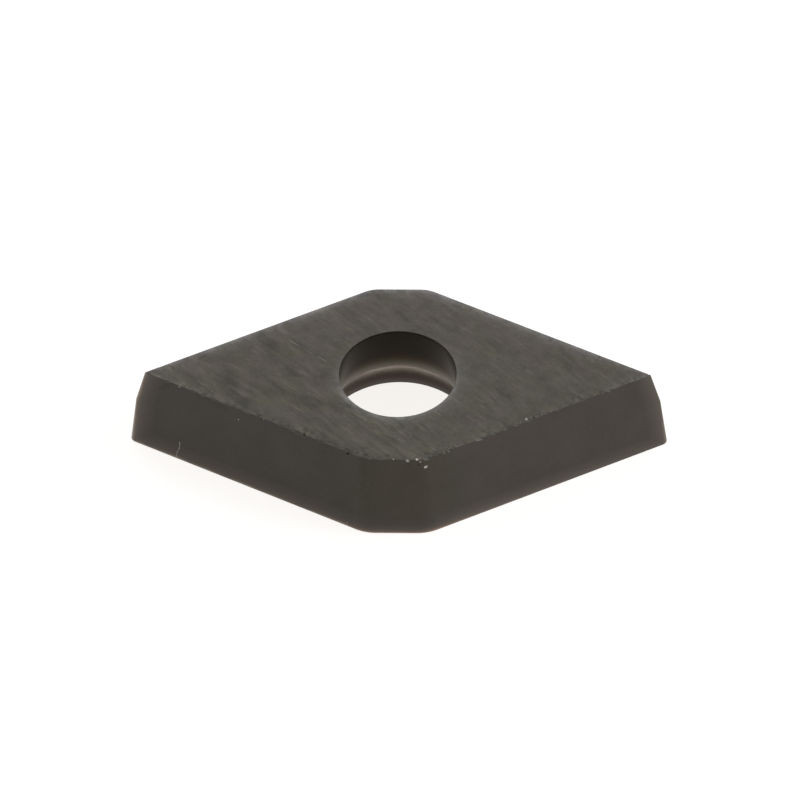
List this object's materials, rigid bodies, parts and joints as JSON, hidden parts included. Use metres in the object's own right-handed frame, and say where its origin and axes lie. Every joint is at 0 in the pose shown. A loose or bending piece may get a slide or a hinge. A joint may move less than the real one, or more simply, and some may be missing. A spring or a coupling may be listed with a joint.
{
  "type": "carbide insert",
  "caption": "Diamond-shaped carbide turning insert with leaning flanks, cut blunt corners and a countersunk screw hole.",
  "frame": {"origin": "centre of the larger face, which the part lies on, on the axis of the screw hole", "axes": "+X along the long diagonal to one cutting nose, +Y across the cut blunt corners, +Z along the screw hole to the ground smaller face"},
  "size_m": [0.0134, 0.0064, 0.0024],
  "materials": {
    "carbide": "sintered dark grey, ground smaller face"
  },
  "bodies": {
    "root": {"insert": "carbide"}
  },
  "joints": []
}
